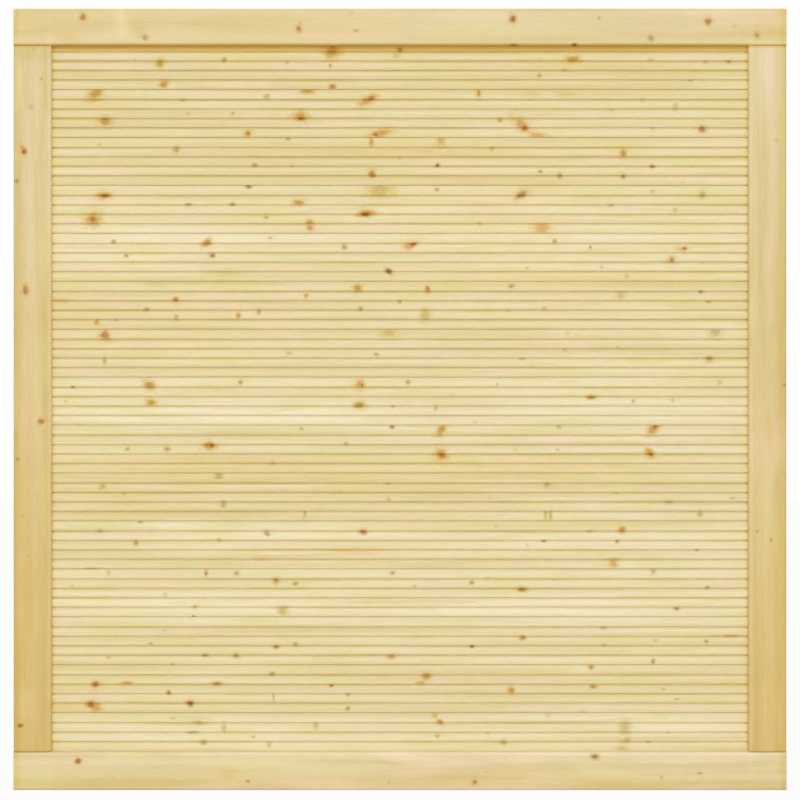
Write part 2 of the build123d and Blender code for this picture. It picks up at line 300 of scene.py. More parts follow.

# Where they are: column, row, half width and half height in the photograph's pixels
WASHES_AND_HIGHLIGHTS = {
    # The second white wash is a painted highlight along the bottom rail's upper arris
    "white": [(121, 20, 6.5, 14), (400, 754, 420, 2.2)],
    "pale": [
        (765, 80, 9, 40), (230, 245, 180, 9), (560, 232, 160, 9), (90, 258, 60, 7), (230, 415, 170, 9),
        (600, 410, 140, 8), (720, 324, 26, 3.5), (180, 527, 35, 8), (300, 535, 110, 6), (620, 538, 110, 6),
        (200, 608, 140, 12), (560, 610, 160, 12), (230, 668, 60, 4), (580, 671, 14, 4), (200, 735, 140, 6),
        (680, 725, 60, 8), (300, 755, 110, 4), (628, 563, 7, 4), (155, 230, 100, 6), (246, 314, 9, 3.5),
        # (400, 790, 430, 3) is painted light from the floor on the bottom rail's lower arris; the washes at
        # columns 49.5 and 750.5, on this line and the next, are painted highlights on the stiles' inner
        # arrises
        (400, 761, 430, 7), (610, 774, 150, 8), (400, 790, 430, 3), (49.5, 400, 2.2, 345),
        (750.5, 400, 2.2, 345), (670, 308, 80, 14), (200, 546, 60, 10), (480, 548, 100, 10),
        (580, 508, 80, 12), (30, 706, 16, 16), (770, 480, 14, 120), (770, 705, 14, 20),
    ],
    "light": [
        (330, 715, 300, 45), (600, 745, 200, 25), (90, 742, 60, 25), (620, 480, 160, 110),
        (480, 632, 160, 30), (250, 420, 200, 25), (410, 350, 90, 30), (24, 250, 14, 60),
    ],
    "cream": [
        (580, 72, 180, 22), (500, 225, 70, 25), (60, 310, 40, 40), (100, 508, 90, 18), (180, 330, 100, 30),
        (480, 190, 130, 20), (690, 225, 40, 25), (766, 690, 5, 60),
    ],
    "pink": [
        (37, 150, 7, 120), (38, 110, 6, 70), (90, 24, 24, 8), (300, 30, 90, 8), (755, 30, 16, 9),
        (65, 764, 45, 8), (640, 140, 12, 5), (275, 115, 60, 5), (630, 30, 60, 8), (420, 93, 40, 5),
        (120, 168, 60, 5), (766, 690, 6, 60),
    ],
    "yellow": [
        (20, 80, 8, 40), (47, 80, 4, 40), (230, 461, 190, 5), (230, 470, 190, 5), (230, 479, 190, 4),
        (560, 461, 190, 5), (560, 470, 190, 5), (560, 480, 190, 4), (200, 283, 70, 4), (560, 284, 190, 5),
        (600, 275, 120, 4), (170, 779, 130, 8), (540, 781, 190, 7), (400, 40, 420, 4.5), (200, 706, 150, 3),
        (240, 25, 200, 14), (770, 25, 30, 14), (410, 150, 90, 10), (625, 150, 25, 8), (38, 26, 34, 15),
        (545, 187, 20, 4), (100, 310, 45, 4), (560, 526, 190, 4), (95, 105, 40, 5),
    ],
    "olive": [
        (141, 32, 8, 8), (531, 94, 10, 4), (566, 94, 9, 4), (155, 284, 12, 4), (225, 272, 22, 4),
        (625, 735, 6, 14), (32, 52, 22, 10),
    ],
    "orange": [
        (27, 430, 3, 110), (28, 580, 5, 70), (768, 430, 3, 18), (768, 600, 2.5, 70), (768, 705, 2.5, 38),
        (768, 712, 2.5, 26), (785, 12, 9, 6), (62, 706, 22, 4.5), (60, 300, 8, 3), (355, 550, 32, 3),
        (262, 559, 10, 2.5), (228, 773, 14, 5), (70, 38, 14, 5),
    ],
}

# Painted shade in the grooves and beside them, painted shadow under the top rail, painted shade above the
# bottom rail, beside the stiles and at the frame's joints, and a darker, yellower tint along the frame's
# outer edges; each colour multiplies the wood's own
# Painted shade in the boards' grooves and joints, and beside the grooves
GROOVE_SHADE_OLIVE = paint(253, 253, 250)
GROOVE_SHADE_ORANGE = paint(255, 249, 236)
GROOVE_SIDE_SHADE = paint(250, 247, 239)
# Painted shadow of the top rail on the boards below it
UNDER_RAIL_SHADOW = paint(255, 226, 150)
# Painted shade on the boards just above the bottom rail
ABOVE_RAIL_SHADE = paint(248, 246, 240)
# Painted shade on the boards beside the stiles
BESIDE_STILE_SHADE = paint(255, 250, 230)
# Painted shade at the head joint, where the stiles meet the top rail
HEAD_JOINT_SHADE = paint(248, 236, 192)
# Painted shade at the foot joint, on the stiles' feet and the bottom rail's upper arris
FOOT_JOINT_SHADE = paint(244, 239, 222)
# Painted shade on the top rail's lower arris above the boards
HEAD_ARRIS_SHADE = paint(226, 196, 130)
# A darker, yellower tint along the frame's outer edges
OUTER_EDGE_TINT = paint(250, 245, 216)

# Where each painted shade, painted shadow or edge tint begins and where it is full, in metres from its line
GROOVE_DEPTH_REACH = (0.00003, 0.0008)
GROOVE_SIDE_REACH = (0.0068, 0.0026)
COVERED_GROOVE_REACH = (0.0045, 0.0065)
FRONT_REACH = (0.002, -0.002)
UNDER_RAIL_REACH = (-0.017, -0.005)
ABOVE_RAIL_REACH = (0.0045, 0.001)
BESIDE_STILE_REACH = (-0.013, -0.002)
OVER_BOARDS_REACH = (0.002, -0.002)
HEAD_JOINT_REACH = (0.009, 0.001)
FOOT_JOINT_REACH = (0.0045, 0.001)
# How far the outer edges' tint reaches in from the sides and the top, and how unevenly
OUTER_SIDE_REACH = (-0.012, 0.006)
OUTER_TOP_REACH = (-0.007, 0.002)
OUTER_SIDE_UNEVEN = 0.02
OUTER_TOP_UNEVEN = 0.006

# Stretches of a noise between 0 and 1 over which a change takes place
MIDDLE_NOISE = (0.3, 0.7)
KNOT_EDGE_NOISE = (0.25, 0.75)
GROOVE_SHADE_NOISE = (0.42, 0.7)
GREEN_NOISE = (0.52, 0.72)
PINK_NOISE = (0.48, 0.28)

# Knots in the wood: distances are in units of a knot's half size
KNOT_EDGE_SCALE = (60, 110, 110)
KNOT_WARP = (0.8, 1.25)
KNOT_PUSH_REACH = (0.6, 3.0)
KNOT_PUSH = 0.8
KNOT_STAIN_REACH = (2.4, 0.9)
KNOT_HEART_REACH = (1.3, 0.4)
KNOT_RING_PACE = 22.0
KNOT_RING_CHANGE = 0.12
KNOT_RING_LEVEL = 0.86
KNOT_RELIEF = 0.8

# Rings, fibres and end grain
RING_WANDER_SCALE = (1.3, 14, 14)
RING_WANDER = 0.016
LATE_WOOD_POWER = 3.0
LATE_WOOD_RELIEF = 0.25
FIBRE_SCALE = (40, 1600, 1600)
FIBRE_SHADE = (0.93, 1.04)
FIBRE_RELIEF = 0.5
END_GRAIN_FACING = (0.6, 0.9)
END_GRAIN_LATE = 0.4
END_GRAIN_SHARE = 0.55
WOOD_ROUGHNESS = (0.66, 0.54)
WOOD_BUMP = {"Strength": 0.5, "Distance": 0.0003}

# Screws' zinc
ZINC_DULL = paint(186, 170, 120)
ZINC_BRIGHT = paint(214, 204, 168)
ZINC_SCALE = (300, 300, 300)
ZINC_ROUGHNESS = (0.28, 0.45)
ZINC_BUMP = {"Strength": 0.3, "Distance": 0.0001}

# How a timber is grained: rings to a metre, share of late wood, scales of streaks and patches, patches' hue
Grain = collections.namedtuple("Grain", "rings late streak patch hue")
BOARD_GRAIN = Grain(330.0, 0.18, (1.6, 75, 75), (6, 45, 45), 0.6)
FRAME_GRAIN = Grain(180.0, 0.08, (1.1, 30, 30), (4, 26, 26), 0.45)

# Boards that are paler than the rest, or deeper
BOARD_TONES = {
    "board_01": 0.05, "board_02": -0.06, "board_04": 0.1, "board_06": -0.1, "board_08": 0.1,
    "board_10": -0.06, "board_11": 0.08, "board_12": 0.08, "board_13": -0.1, "board_14": -0.1,
    "board_15": -0.1,
}

# Where a timber's pith is, from the middle of its face and from the middle of its thickness, in metres
FRAME_PITH_ACROSS = 0.04
FRAME_PITH_DEPTH = (0.05, 0.08)
BOARD_PITH_ACROSS = 0.05
BOARD_PITH_DEPTH = (0.03, 0.08)
PATTERN_SHIFT = 50
FRAME_SEED = 100

# Light: an even surround, a soft key and fill from above the front, and one from behind.
# Each lamp has its strength, its spread in degrees and its turn in degrees
WORLD_STRENGTH = 0.44
LAMPS = {
    "key": (1.0, 24.0, (45.0, 0.0, 0.0)),
    "fill": (0.72, 50.0, (75.0, 0.0, 0.0)),
    "back": (0.8, 40.0, (-50.0, 0.0, 20.0)),
}
FLOOR_SIZE = 40
FLOOR_COLOUR = (0.8, 0.8, 0.8, 1)
FLOOR_GLOW = 0.93
WHITE = (1, 1, 1, 1)


def feed(tree, socket, value):
    """Link a socket to another socket, or set it to a value."""
    if isinstance(value, bpy.types.NodeSocket):
        tree.links.new(value, socket)
    else:
        socket.default_value = value


def add_node(tree, kind, inputs=None, **settings):
    """Add a shader node with these settings, and feed its inputs by name or number."""
    node = tree.nodes.new(f"ShaderNode{kind}")
    for name, value in settings.items():
        setattr(node, name, value)
    for key, value in (inputs or {}).items():
        feed(tree, node.inputs[key], value)
    return node


def calculate(tree, operation, *values):
    """The result of a Math node."""
    inputs = dict(enumerate(values))
    return add_node(tree, "Math", inputs, operation=operation).outputs[0]


def times(tree, first, second):
    """The product of two values."""
    return calculate(tree, "MULTIPLY", first, second)


def combine(tree, operation, *values, output="Vector"):
    """The result of a Vector Math node."""
    inputs = dict(enumerate(values))
    return add_node(tree, "VectorMath", inputs, operation=operation).outputs[output]


def mix_colour(tree, share, first, second, mode="MIX"):
    """Two colours mixed by a share, in a blending mode."""
    inputs = {0: share, 6: first, 7: second}
    return add_node(tree, "Mix", inputs, data_type="RGBA", blend_type=mode).outputs[2]


def remap(tree, value, start, end, low=0.0, high=1.0):
    """A value eased from low at start to high at end."""
    inputs = {"Value": value, "From Min": start, "From Max": end, "To Min": low, "To Max": high}
    return add_node(tree, "MapRange", inputs, interpolation_type="SMOOTHSTEP").outputs[0]


def stretched_noise(tree, position, scale, seed, detail=2.0):
    """Noise between 0 and 1, with its own scale along, across and through the timber."""
    place = add_node(tree, "Mapping", {"Vector": position, "Location": seed, "Scale": scale})
    inputs = {"Vector": place.outputs[0], "Scale": 1.0, "Detail": detail}
    return add_node(tree, "TexNoise", inputs, noise_dimensions="3D").outputs[0]


def colour_ramp(tree, share, stops):
    """A colour that runs through the stops, each a place and a colour."""
    node = add_node(tree, "ValToRGB", {0: share})
    elements = node.color_ramp.elements
    for element, (place, colour) in zip(elements, stops[:2]):
        element.position = place
        element.color = colour
    for place, colour in stops[2:]:
        elements.new(place).color = colour
    return node.outputs[0]


def new_group(name, inputs, outputs):
    """An empty node group with these sockets, each a name and a kind, and its two end nodes."""
    group = bpy.data.node_groups.new(name, "ShaderNodeTree")
    for direction, sockets in (("INPUT", inputs), ("OUTPUT", outputs)):
        for socket, kind in sockets.items():
            group.interface.new_socket(socket, in_out=direction, socket_type=f"NodeSocket{kind}")
    return group, group.nodes.new("NodeGroupInput").outputs, group.nodes.new("NodeGroupOutput").inputs


def make_knot_group():
    """How far a point of the front or back is from a knot's middle, in units of the knot's half size."""
    group, given, result = new_group(
        "knot",
        {"Point": "Vector", "Place": "Vector", "Half size": "Vector", "Lean": "Float", "Warp": "Float"},
        {"Distance": "Float", "Reach": "Float", "Offset": "Vector"},
    )
    offset = combine(group, "SUBTRACT", given["Point"], given["Place"])
    inputs = {"Vector": offset, "Axis": (0, 0, 1), "Angle": times(group, given["Lean"], -1.0)}
    turned = add_node(group, "VectorRotate", inputs, rotation_type="AXIS_ANGLE").outputs[0]
    scaled = combine(group, "DIVIDE", turned, given["Half size"])
    reach = combine(group, "LENGTH", scaled, output="Value")
    feed(group, result["Distance"], times(group, reach, given["Warp"]))
    feed(group, result["Reach"], reach)
    feed(group, result["Offset"], offset)
    return group


KNOT_GROUP = make_knot_group()


def attribute(tree, name, output="Vector"):
    """A value that the mesh carries."""
    return add_node(tree, "Attribute", attribute_name=name).outputs[output]


def from_line(tree, value, line, reach):
    """A share that is 0 at the first distance of a reach from a line, and 1 at the second."""
    return remap(tree, value, line + reach[0], line + reach[1])


def beside_grooves(tree, place, front):
    """How near a point of a board's front is to the middle of a rib groove, or to the joint above it: the
    share of painted shade beside the grooves.
    """
    from_top = calculate(tree, "SUBTRACT", attribute(tree, "shoulder", "Fac"), place[2])
    below = calculate(tree, "SUBTRACT", from_top, TOP_RIB_HEIGHT)
    lower_ribs = calculate(tree, "PINGPONG", calculate(tree, "MAXIMUM", below, 0.0), RIB_PITCH / 2)
    top_rib = calculate(tree, "MAXIMUM", times(tree, below, -1.0), 0.0)
    aside = calculate(tree, "MINIMUM", calculate(tree, "ADD", lower_ribs, top_rib), from_top)
    near = times(tree, from_line(tree, aside, 0.0, GROOVE_SIDE_REACH), front)
    over_rail = from_line(tree, place[2], OPENING_FOOT, COVERED_GROOVE_REACH)
    return times(tree, near, over_rail)


def multiply_tints(tree, colour, painted_shade_and_tints):
    """A colour multiplied by one tint after another, each by its own share."""
    for share, tint in painted_shade_and_tints:
        colour = mix_colour(tree, share, colour, tint, "MULTIPLY")
    return colour


def board_painted_shade(tree, place, noise, colour):
    """Painted shade in a board's grooves and joints and beside the grooves, painted shadow under the top
    rail, and painted shade above the bottom rail and beside the stiles.
    """
    groove_shade = mix_colour(tree, remap(tree, noise, *GROOVE_SHADE_NOISE), GROOVE_SHADE_OLIVE, GROOVE_SHADE_ORANGE)
    sunk = from_line(tree, place[1], BOARD_FACE, GROOVE_DEPTH_REACH)
    front = from_line(tree, place[1], 0.0, FRONT_REACH)
    sideways = calculate(tree, "ABSOLUTE", place[0])
    return multiply_tints(tree, colour, [
        # Painted shade in the grooves and joints, then beside the grooves
        (times(tree, sunk, front), groove_shade),
        (beside_grooves(tree, place, front), GROOVE_SIDE_SHADE),
        # Painted shadow under the top rail
        (from_line(tree, place[2], OPENING_TOP, UNDER_RAIL_REACH), UNDER_RAIL_SHADOW),
        # Painted shade above the bottom rail
        (from_line(tree, place[2], OPENING_FOOT, ABOVE_RAIL_REACH), ABOVE_RAIL_SHADE),
        # Painted shade beside the stiles
        (from_line(tree, sideways, OPENING_SIDE, BESIDE_STILE_REACH), BESIDE_STILE_SHADE),
    ])


def frame_shade_and_edge_tint(tree, place, noise, colour):
    """Painted shade at the frame's head and foot joints, and a darker, yellower tint along its outer edges.
    """
    sideways = calculate(tree, "ABSOLUTE", place[0])
    over_boards = from_line(tree, sideways, OPENING_SIDE, OVER_BOARDS_REACH)
    head_shade = mix_colour(tree, over_boards, HEAD_JOINT_SHADE, HEAD_ARRIS_SHADE)
    head = calculate(tree, "ABSOLUTE", calculate(tree, "SUBTRACT", place[2], OPENING_TOP))
    foot = calculate(tree, "ABSOLUTE", calculate(tree, "SUBTRACT", place[2], OPENING_FOOT))
    side = calculate(tree, "MULTIPLY_ADD", noise, OUTER_SIDE_UNEVEN, sideways)
    top = calculate(tree, "MULTIPLY_ADD", noise, OUTER_TOP_UNEVEN, place[2])
    outer_side = from_line(tree, side, cad_box[1][0], OUTER_SIDE_REACH)
    outer_top = from_line(tree, top, cad_box[1][2], OUTER_TOP_REACH)
    return multiply_tints(tree, colour, [
        # Painted shade at the head joint and on the top rail's lower arris over the boards
        (from_line(tree, head, 0.0, HEAD_JOINT_REACH), head_shade),
        # Painted shade at the foot joint
        (from_line(tree, foot, 0.0, FOOT_JOINT_REACH), FOOT_JOINT_SHADE),
        # A darker, yellower tint along the outer edges
        (calculate(tree, "MAXIMUM", outer_side, outer_top), OUTER_EDGE_TINT),
    ])


def bend_round_knots(tree, axis, place, point, shift):
    """The grain as it bends round the knots that a cell carries, and the distance from each of them."""
    face = add_node(tree, "CombineXYZ", {0: place[0], 1: place[2]}).outputs[0]
    uneven = stretched_noise(tree, point, KNOT_EDGE_SCALE, shift, 1.0)
    warp = remap(tree, uneven, *KNOT_EDGE_NOISE, *KNOT_WARP)
    grain = point
    distances = {}
    for layer in KNOT_LAYERS:
        inputs = {
            "Point": face,
            "Place": attribute(tree, f"{layer}_place"),
            "Half size": attribute(tree, f"{layer}_half"),
            "Lean": attribute(tree, f"{layer}_lean", "Fac"),
            "Warp": warp,
        }
        knot = add_node(tree, "Group", inputs, node_tree=KNOT_GROUP)
        distances[layer] = knot.outputs["Distance"]
        push = remap(tree, knot.outputs["Reach"], *KNOT_PUSH_REACH, KNOT_PUSH, 0.0)
        offset = add_node(tree, "SeparateXYZ", {0: knot.outputs["Offset"]}).outputs
        aside = times(tree, offset[1 if axis == "X" else 0], push)
        sideways = add_node(tree, "CombineXYZ", {1: aside}).outputs[0]
        grain = combine(tree, "SUBTRACT", grain, sideways)
    return grain, distances


def growth_rings(tree, grain, shift, pace):
    """Late wood between 0 and 1, in rings round the pith that wander along the timber."""
    wander = stretched_noise(tree, grain, RING_WANDER_SCALE, shift)
    wandered = times(tree, calculate(tree, "SUBTRACT", wander, 0.5), RING_WANDER)
    section = combine(tree, "MULTIPLY", combine(tree, "SUBTRACT", grain, attribute(tree, "pith")), (0, 1, 1))
    radius = calculate(tree, "ADD", combine(tree, "LENGTH", section, output="Value"), wandered)
    rings = calculate(tree, "FRACT", times(tree, radius, pace))
    return calculate(tree, "POWER", rings, LATE_WOOD_POWER)


def clear_wood(tree, axis, wood, grained, late, streak, patch, fibre):
    """The colour of wood without knots: streaks, hue patches, late wood, fibres, end grain, and washes that
    hold painted highlights along some arrises.
    """
    pale, middle, deep, late_tone = wood
    toned = calculate(tree, "ADD", streak, attribute(tree, "tone", "Fac"))
    colour = colour_ramp(tree, toned, [(0.3, deep), (0.7, pale), (0.5, middle)])
    colour = mix_colour(tree, remap(tree, patch, *GREEN_NOISE, 0.0, grained.hue), colour, GREEN_PATCH)
    colour = mix_colour(tree, remap(tree, patch, *PINK_NOISE, 0.0, grained.hue), colour, PINK_PATCH)
    normal = add_node(tree, "NewGeometry").outputs["Normal"]
    facing = add_node(tree, "SeparateXYZ", {0: normal}).outputs[0 if axis == "X" else 2]
    end_grain = remap(tree, calculate(tree, "ABSOLUTE", facing), *END_GRAIN_FACING)
    late_share = calculate(tree, "MULTIPLY_ADD", end_grain, END_GRAIN_LATE, grained.late)
    colour = mix_colour(tree, times(tree, late, late_share), colour, late_tone)
    shade = remap(tree, fibre, *MIDDLE_NOISE, *FIBRE_SHADE)
    grey = add_node(tree, "CombineColor", {0: shade, 1: shade, 2: shade}).outputs[0]
    colour = mix_colour(tree, 1.0, colour, grey, "MULTIPLY")
    end_share = times(tree, end_grain, END_GRAIN_SHARE)
    colour = mix_colour(tree, end_share, colour, END_GRAIN_TONE)
    # The washes include painted highlights along some arrises
    return mix_colour(tree, 1.0, colour, attribute(tree, "wash", "Color"), "MULTIPLY")


def draw_knots(tree, distances, colour, relief):
    """Knots over the wood, each a stain and a ringed heart: the new colour and relief."""
    for layer, distance in distances.items():
        strength = attribute(tree, f"{layer}_strength", "Fac")
        near = times(tree, remap(tree, distance, *KNOT_STAIN_REACH), strength)
        colour = mix_colour(tree, near, colour, attribute(tree, f"{layer}_stain", "Color"))
        turns = calculate(tree, "SINE", times(tree, distance, KNOT_RING_PACE))
        ringed = calculate(tree, "MULTIPLY_ADD", turns, KNOT_RING_CHANGE, KNOT_RING_LEVEL)
        heart = times(tree, remap(tree, distance, *KNOT_HEART_REACH), ringed)
        heart = times(tree, heart, attribute(tree, f"{layer}_depth", "Fac"))
        colour = mix_colour(tree, heart, colour, attribute(tree, f"{layer}_heart", "Color"))
        relief = calculate(tree, "ADD", relief, times(tree, heart, KNOT_RELIEF))
    return colour, relief


def timber_material(name, axis, wood, grained, painted_shade_and_tints, lower_tint=None):
    """Planed softwood with its own grain, and the knots that the timber's mesh carries.

    axis is the direction of the grain, X or Z. In the timber's own coordinates the first number runs
    along the grain, the second across the face and the third through the thickness.
    """
    material = bpy.data.materials.new(name)
    material.use_nodes = True
    tree = material.node_tree
    shader = tree.nodes["Principled BSDF"]
    place = add_node(tree, "TexCoord").outputs["Object"]
    split = add_node(tree, "SeparateXYZ", {0: place}).outputs
    along, across = (split[0], split[2]) if axis == "X" else (split[2], split[0])
    point = add_node(tree, "CombineXYZ", {0: along, 1: across, 2: split[1]}).outputs[0]
    shift = attribute(tree, "shift")

    grain, distances = bend_round_knots(tree, axis, split, point, shift)
    late = growth_rings(tree, grain, shift, grained.rings)
    streak = stretched_noise(tree, grain, grained.streak, shift)
    patch = stretched_noise(tree, grain, grained.patch, shift, 1.0)
    fibre = stretched_noise(tree, grain, FIBRE_SCALE, shift)
    colour = clear_wood(tree, axis, wood, grained, late, streak, patch, fibre)
    if lower_tint:
        fall = remap(tree, along, cad_box[1][2], 0.0)
        colour = mix_colour(tree, fall, colour, lower_tint, "MULTIPLY")
    relief = times(tree, late, LATE_WOOD_RELIEF)
    colour, relief = draw_knots(tree, distances, colour, relief)

    # Painted shade and shadow, and the frame's outer-edge tint, multiply the wood's colour here
    feed(tree, shader.inputs["Base Color"], painted_shade_and_tints(tree, split, patch, colour))
    shader.inputs["Specular IOR Level"].default_value = WOOD_SHEEN
    feed(tree, shader.inputs["Roughness"], remap(tree, streak, *MIDDLE_NOISE, *WOOD_ROUGHNESS))
    height = calculate(tree, "MULTIPLY_ADD", fibre, FIBRE_RELIEF, relief)
    bump = add_node(tree, "Bump", {**WOOD_BUMP, "Height": height})
    feed(tree, shader.inputs["Normal"], bump.outputs[0])
    return material


def panel_place(column, row):
    """Where a pixel of the photograph lies on the panel: to the right of its middle, and up from its foot."""
    return (column - FOOT_COLUMN) * METRES_PER_PIXEL, (FOOT_ROW - row) * METRES_PER_PIXEL


def owner(x, z):
    """The timber that shows at a place on the front of the panel."""
    if z >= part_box("top_rail")[0].z:
        return "top_rail"
    if z <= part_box("bottom_rail")[1].z:
        return "bottom_rail"
    if x <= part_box("left_stile")[1].x:
        return "left_stile"
    if x >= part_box("right_stile")[0].x:
        return "right_stile"
    for node in BOARD_NODES[:-1]:
        if z <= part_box(node)[1].z - TONGUE_LENGTH:
            return node
    return BOARD_NODES[-1]


def sort_knots():
    """Each timber's knots on the front, from the list read off the photograph."""
    found = {node: [] for node in (*FRAME_NODES, *BOARD_NODES)}
    for tone, knots in KNOTS.items():
        for column, row, width, height, *lean in knots:
            x, z = panel_place(column, row)
            half = (width * METRES_PER_PIXEL / 2, height * METRES_PER_PIXEL / 2)
            found[owner(x, z)].append(Knot(tone, x, z, *half, math.radians(lean[0]) if lean else 0.0))
    return found


def far_side(knots, rng):
    """The same branches where they come out at the back: shifted, and of other sizes."""
    return [
        Knot(
            knot.tone,
            knot.x + rng.uniform(-BACK_KNOT_SHIFT, BACK_KNOT_SHIFT),
            knot.z + rng.uniform(-BACK_KNOT_SHIFT, BACK_KNOT_SHIFT) / 2,
            knot.half_x * rng.uniform(*BACK_KNOT_SIZE),
            knot.half_z * rng.uniform(*BACK_KNOT_SIZE),
            knot.lean + rng.uniform(-BACK_KNOT_LEAN, BACK_KNOT_LEAN),
        )
        for knot in knots
    ]


def carry(mesh, name, values, domain="FACE"):
    """Store a number, a vector or a colour for every face, or every point, of a mesh."""
    kinds = {1: ("FLOAT", "value"), 3: ("FLOAT_VECTOR", "vector"), 4: ("FLOAT_COLOR", "color")}
    kind, field = kinds[values.size // len(values)]
    data = mesh.attributes.new(name, kind, domain).data
    data.foreach_set(field, values.astype(np.float32).ravel())


def carry_knots(mesh, front, back):
    """Store in every face, layer by layer, the knot that is nearest to it on its own side."""
    count = len(mesh.polygons)
    centres = np.zeros(count * 3)
    mesh.polygons.foreach_get("center", centres)
    x, y, z = centres.reshape(-1, 3).T
    for layer, tones in KNOT_LAYERS.items():
        carried = {
            "place": np.full((count, 3), FAR),
            "half": np.ones((count, 3)),
            "lean": np.zeros(count),
            "heart": np.ones((count, 4)),
            "stain": np.ones((count, 4)),
            "strength": np.zeros(count),
            "depth": np.zeros(count),
        }
        best = np.full(count, FAR)
        for knots, side in ((front, y < 0), (back, y >= 0)):
            for knot in knots:
                if knot.tone not in tones:
                    continue
                distance = np.hypot((x - knot.x) / knot.half_x, (z - knot.z) / knot.half_z)
                nearer = side & (distance < best)
                best[nearer] = distance[nearer]
                place, half = (knot.x, knot.z, 0), (knot.half_x, knot.half_z, 1)
                for values, value in zip(carried.values(), (place, half, knot.lean, *KNOT_TONES[knot.tone])):
                    values[nearer] = value
        for name, values in carried.items():
            carry(mesh, f"{layer}_{name}", values)


def carry_washes_and_highlights(mesh):
    """Store in every point of a mesh what the broad changes of tone and the painted highlights multiply the
    wood's colour by.
    """
    count = len(mesh.vertices)
    places = np.zeros(count * 3)
    mesh.vertices.foreach_get("co", places)
    x, _, z = places.reshape(-1, 3).T / METRES_PER_PIXEL
    factors = np.ones((count, 4))
    for tone, washes in WASHES_AND_HIGHLIGHTS.items():
        change = np.array(WASH_TONES[tone]) - 1
        for column, row, half_width, half_height in washes:
            reach = np.hypot((x + FOOT_COLUMN - column) / half_width, (FOOT_ROW - z - row) / half_height)
            factors[:, :3] *= 1 + np.exp(-(reach**WASH_FALL))[:, None] * change
    carry(mesh, "wash", factors, "POINT")


def add_object(name, data):
    """A new object in the scene."""
    thing = bpy.data.objects.new(name, data)
    bpy.context.scene.collection.objects.link(thing)
    return thing


def add_piece(name, mesh, material):
    """A new piece of one material, with smooth faces between its sharp edges."""
    mesh.polygons.foreach_set("use_smooth", np.ones(len(mesh.polygons), bool))
    mesh.set_sharp_from_angle(angle=math.radians(SHARP_ANGLE))
    mesh.materials.clear()
    mesh.materials.append(material)
    return add_object(name, mesh)


def place_timber(mesh, node, material, knots, pith, tone, rng):
    """Finish a timber's mesh and put it in the place of its node."""
    count = len(mesh.polygons)
    carry_knots(mesh, knots, far_side(knots, rng))
    carry_washes_and_highlights(mesh)
    shift = [rng.uniform(-PATTERN_SHIFT, PATTERN_SHIFT) for _ in range(3)]
    carry(mesh, "shift", np.tile(shift, (count, 1)))
    carry(mesh, "pith", np.tile((0, *pith), (count, 1)))
    carry(mesh, "tone", np.full(count, tone))
    piece = add_piece(f"{node}_timber", mesh, material)
    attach(piece, BODY)
    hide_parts(node)


def frame_mesh(node):
    """The node's own form, cut into cells that are small enough to carry knots."""
    low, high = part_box(node)
    form = bmesh.new()
    form.from_mesh(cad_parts[node].data)
    bmesh.ops.remove_doubles(form, verts=form.verts, dist=WELD_DISTANCE)
    for axis in (0, 2):
        normal = [0, 0, 0]
        normal[axis] = 1
        cuts = round((high[axis] - low[axis]) / FRAME_CELL)
        for cut in range(1, cuts):
            point = [0, 0, 0]
            point[axis] = low[axis] + (high[axis] - low[axis]) * cut / cuts
            geometry = [*form.verts, *form.edges, *form.faces]
            bmesh.ops.bisect_plane(form, geom=geometry, plane_co=point, plane_no=normal)
    mesh = bpy.data.meshes.new(f"{node}_timber")
    form.to_mesh(mesh)
    form.free()
    if "custom_normal" in mesh.attributes:
        mesh.attributes.remove(mesh.attributes["custom_normal"])
    return mesh


def make_frame(knots):
    """The rails and stiles."""
    rail_wood = timber_material("rail_wood", "X", FRAME_WOOD, FRAME_GRAIN, frame_shade_and_edge_tint)
    stile_wood = timber_material("stile_wood", "Z", FRAME_WOOD, FRAME_GRAIN, frame_shade_and_edge_tint, STILE_FOOT_TINT)
    for index, node in enumerate(FRAME_NODES):
        rng = random.Random(FRAME_SEED + index)
        low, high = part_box(node)
        middle = (low + high) / 2
        across, material = (middle.z, rail_wood) if node.endswith("rail") else (middle.x, stile_wood)
        pith_across = across + rng.uniform(-FRAME_PITH_ACROSS, FRAME_PITH_ACROSS)
        pith = (pith_across, rng.uniform(*FRAME_PITH_DEPTH))
        place_timber(frame_mesh(node), node, material, knots[node], pith, 0.0, rng)


def round_corners(corners):
    """The points of a closed outline with its corners rounded by curves: y, z, the groove that each is in."""
    points = []
    for index, (y, z, radius, groove) in enumerate(corners):
        if not radius:
            points.append((y, z, groove))
            continue
        ends = []
        for neighbour in (corners[index - 1], corners[(index + 1) % len(corners)]):
            run = math.dist((y, z), neighbour[:2])
            share = min(radius / run, 0.5)
            ends.append((y + (neighbour[0] - y) * share, z + (neighbour[1] - z) * share))
        for step in range(ARRIS_STEPS + 1):
            t = step / ARRIS_STEPS
            weights = ((1 - t) ** 2, 2 * t * (1 - t), t**2)
            triple = (ends[0], (y, z), ends[1])
            points.append(tuple(sum(w * p[k] for w, p in zip(weights, triple)) for k in (0, 1)) + (groove,))
    return points


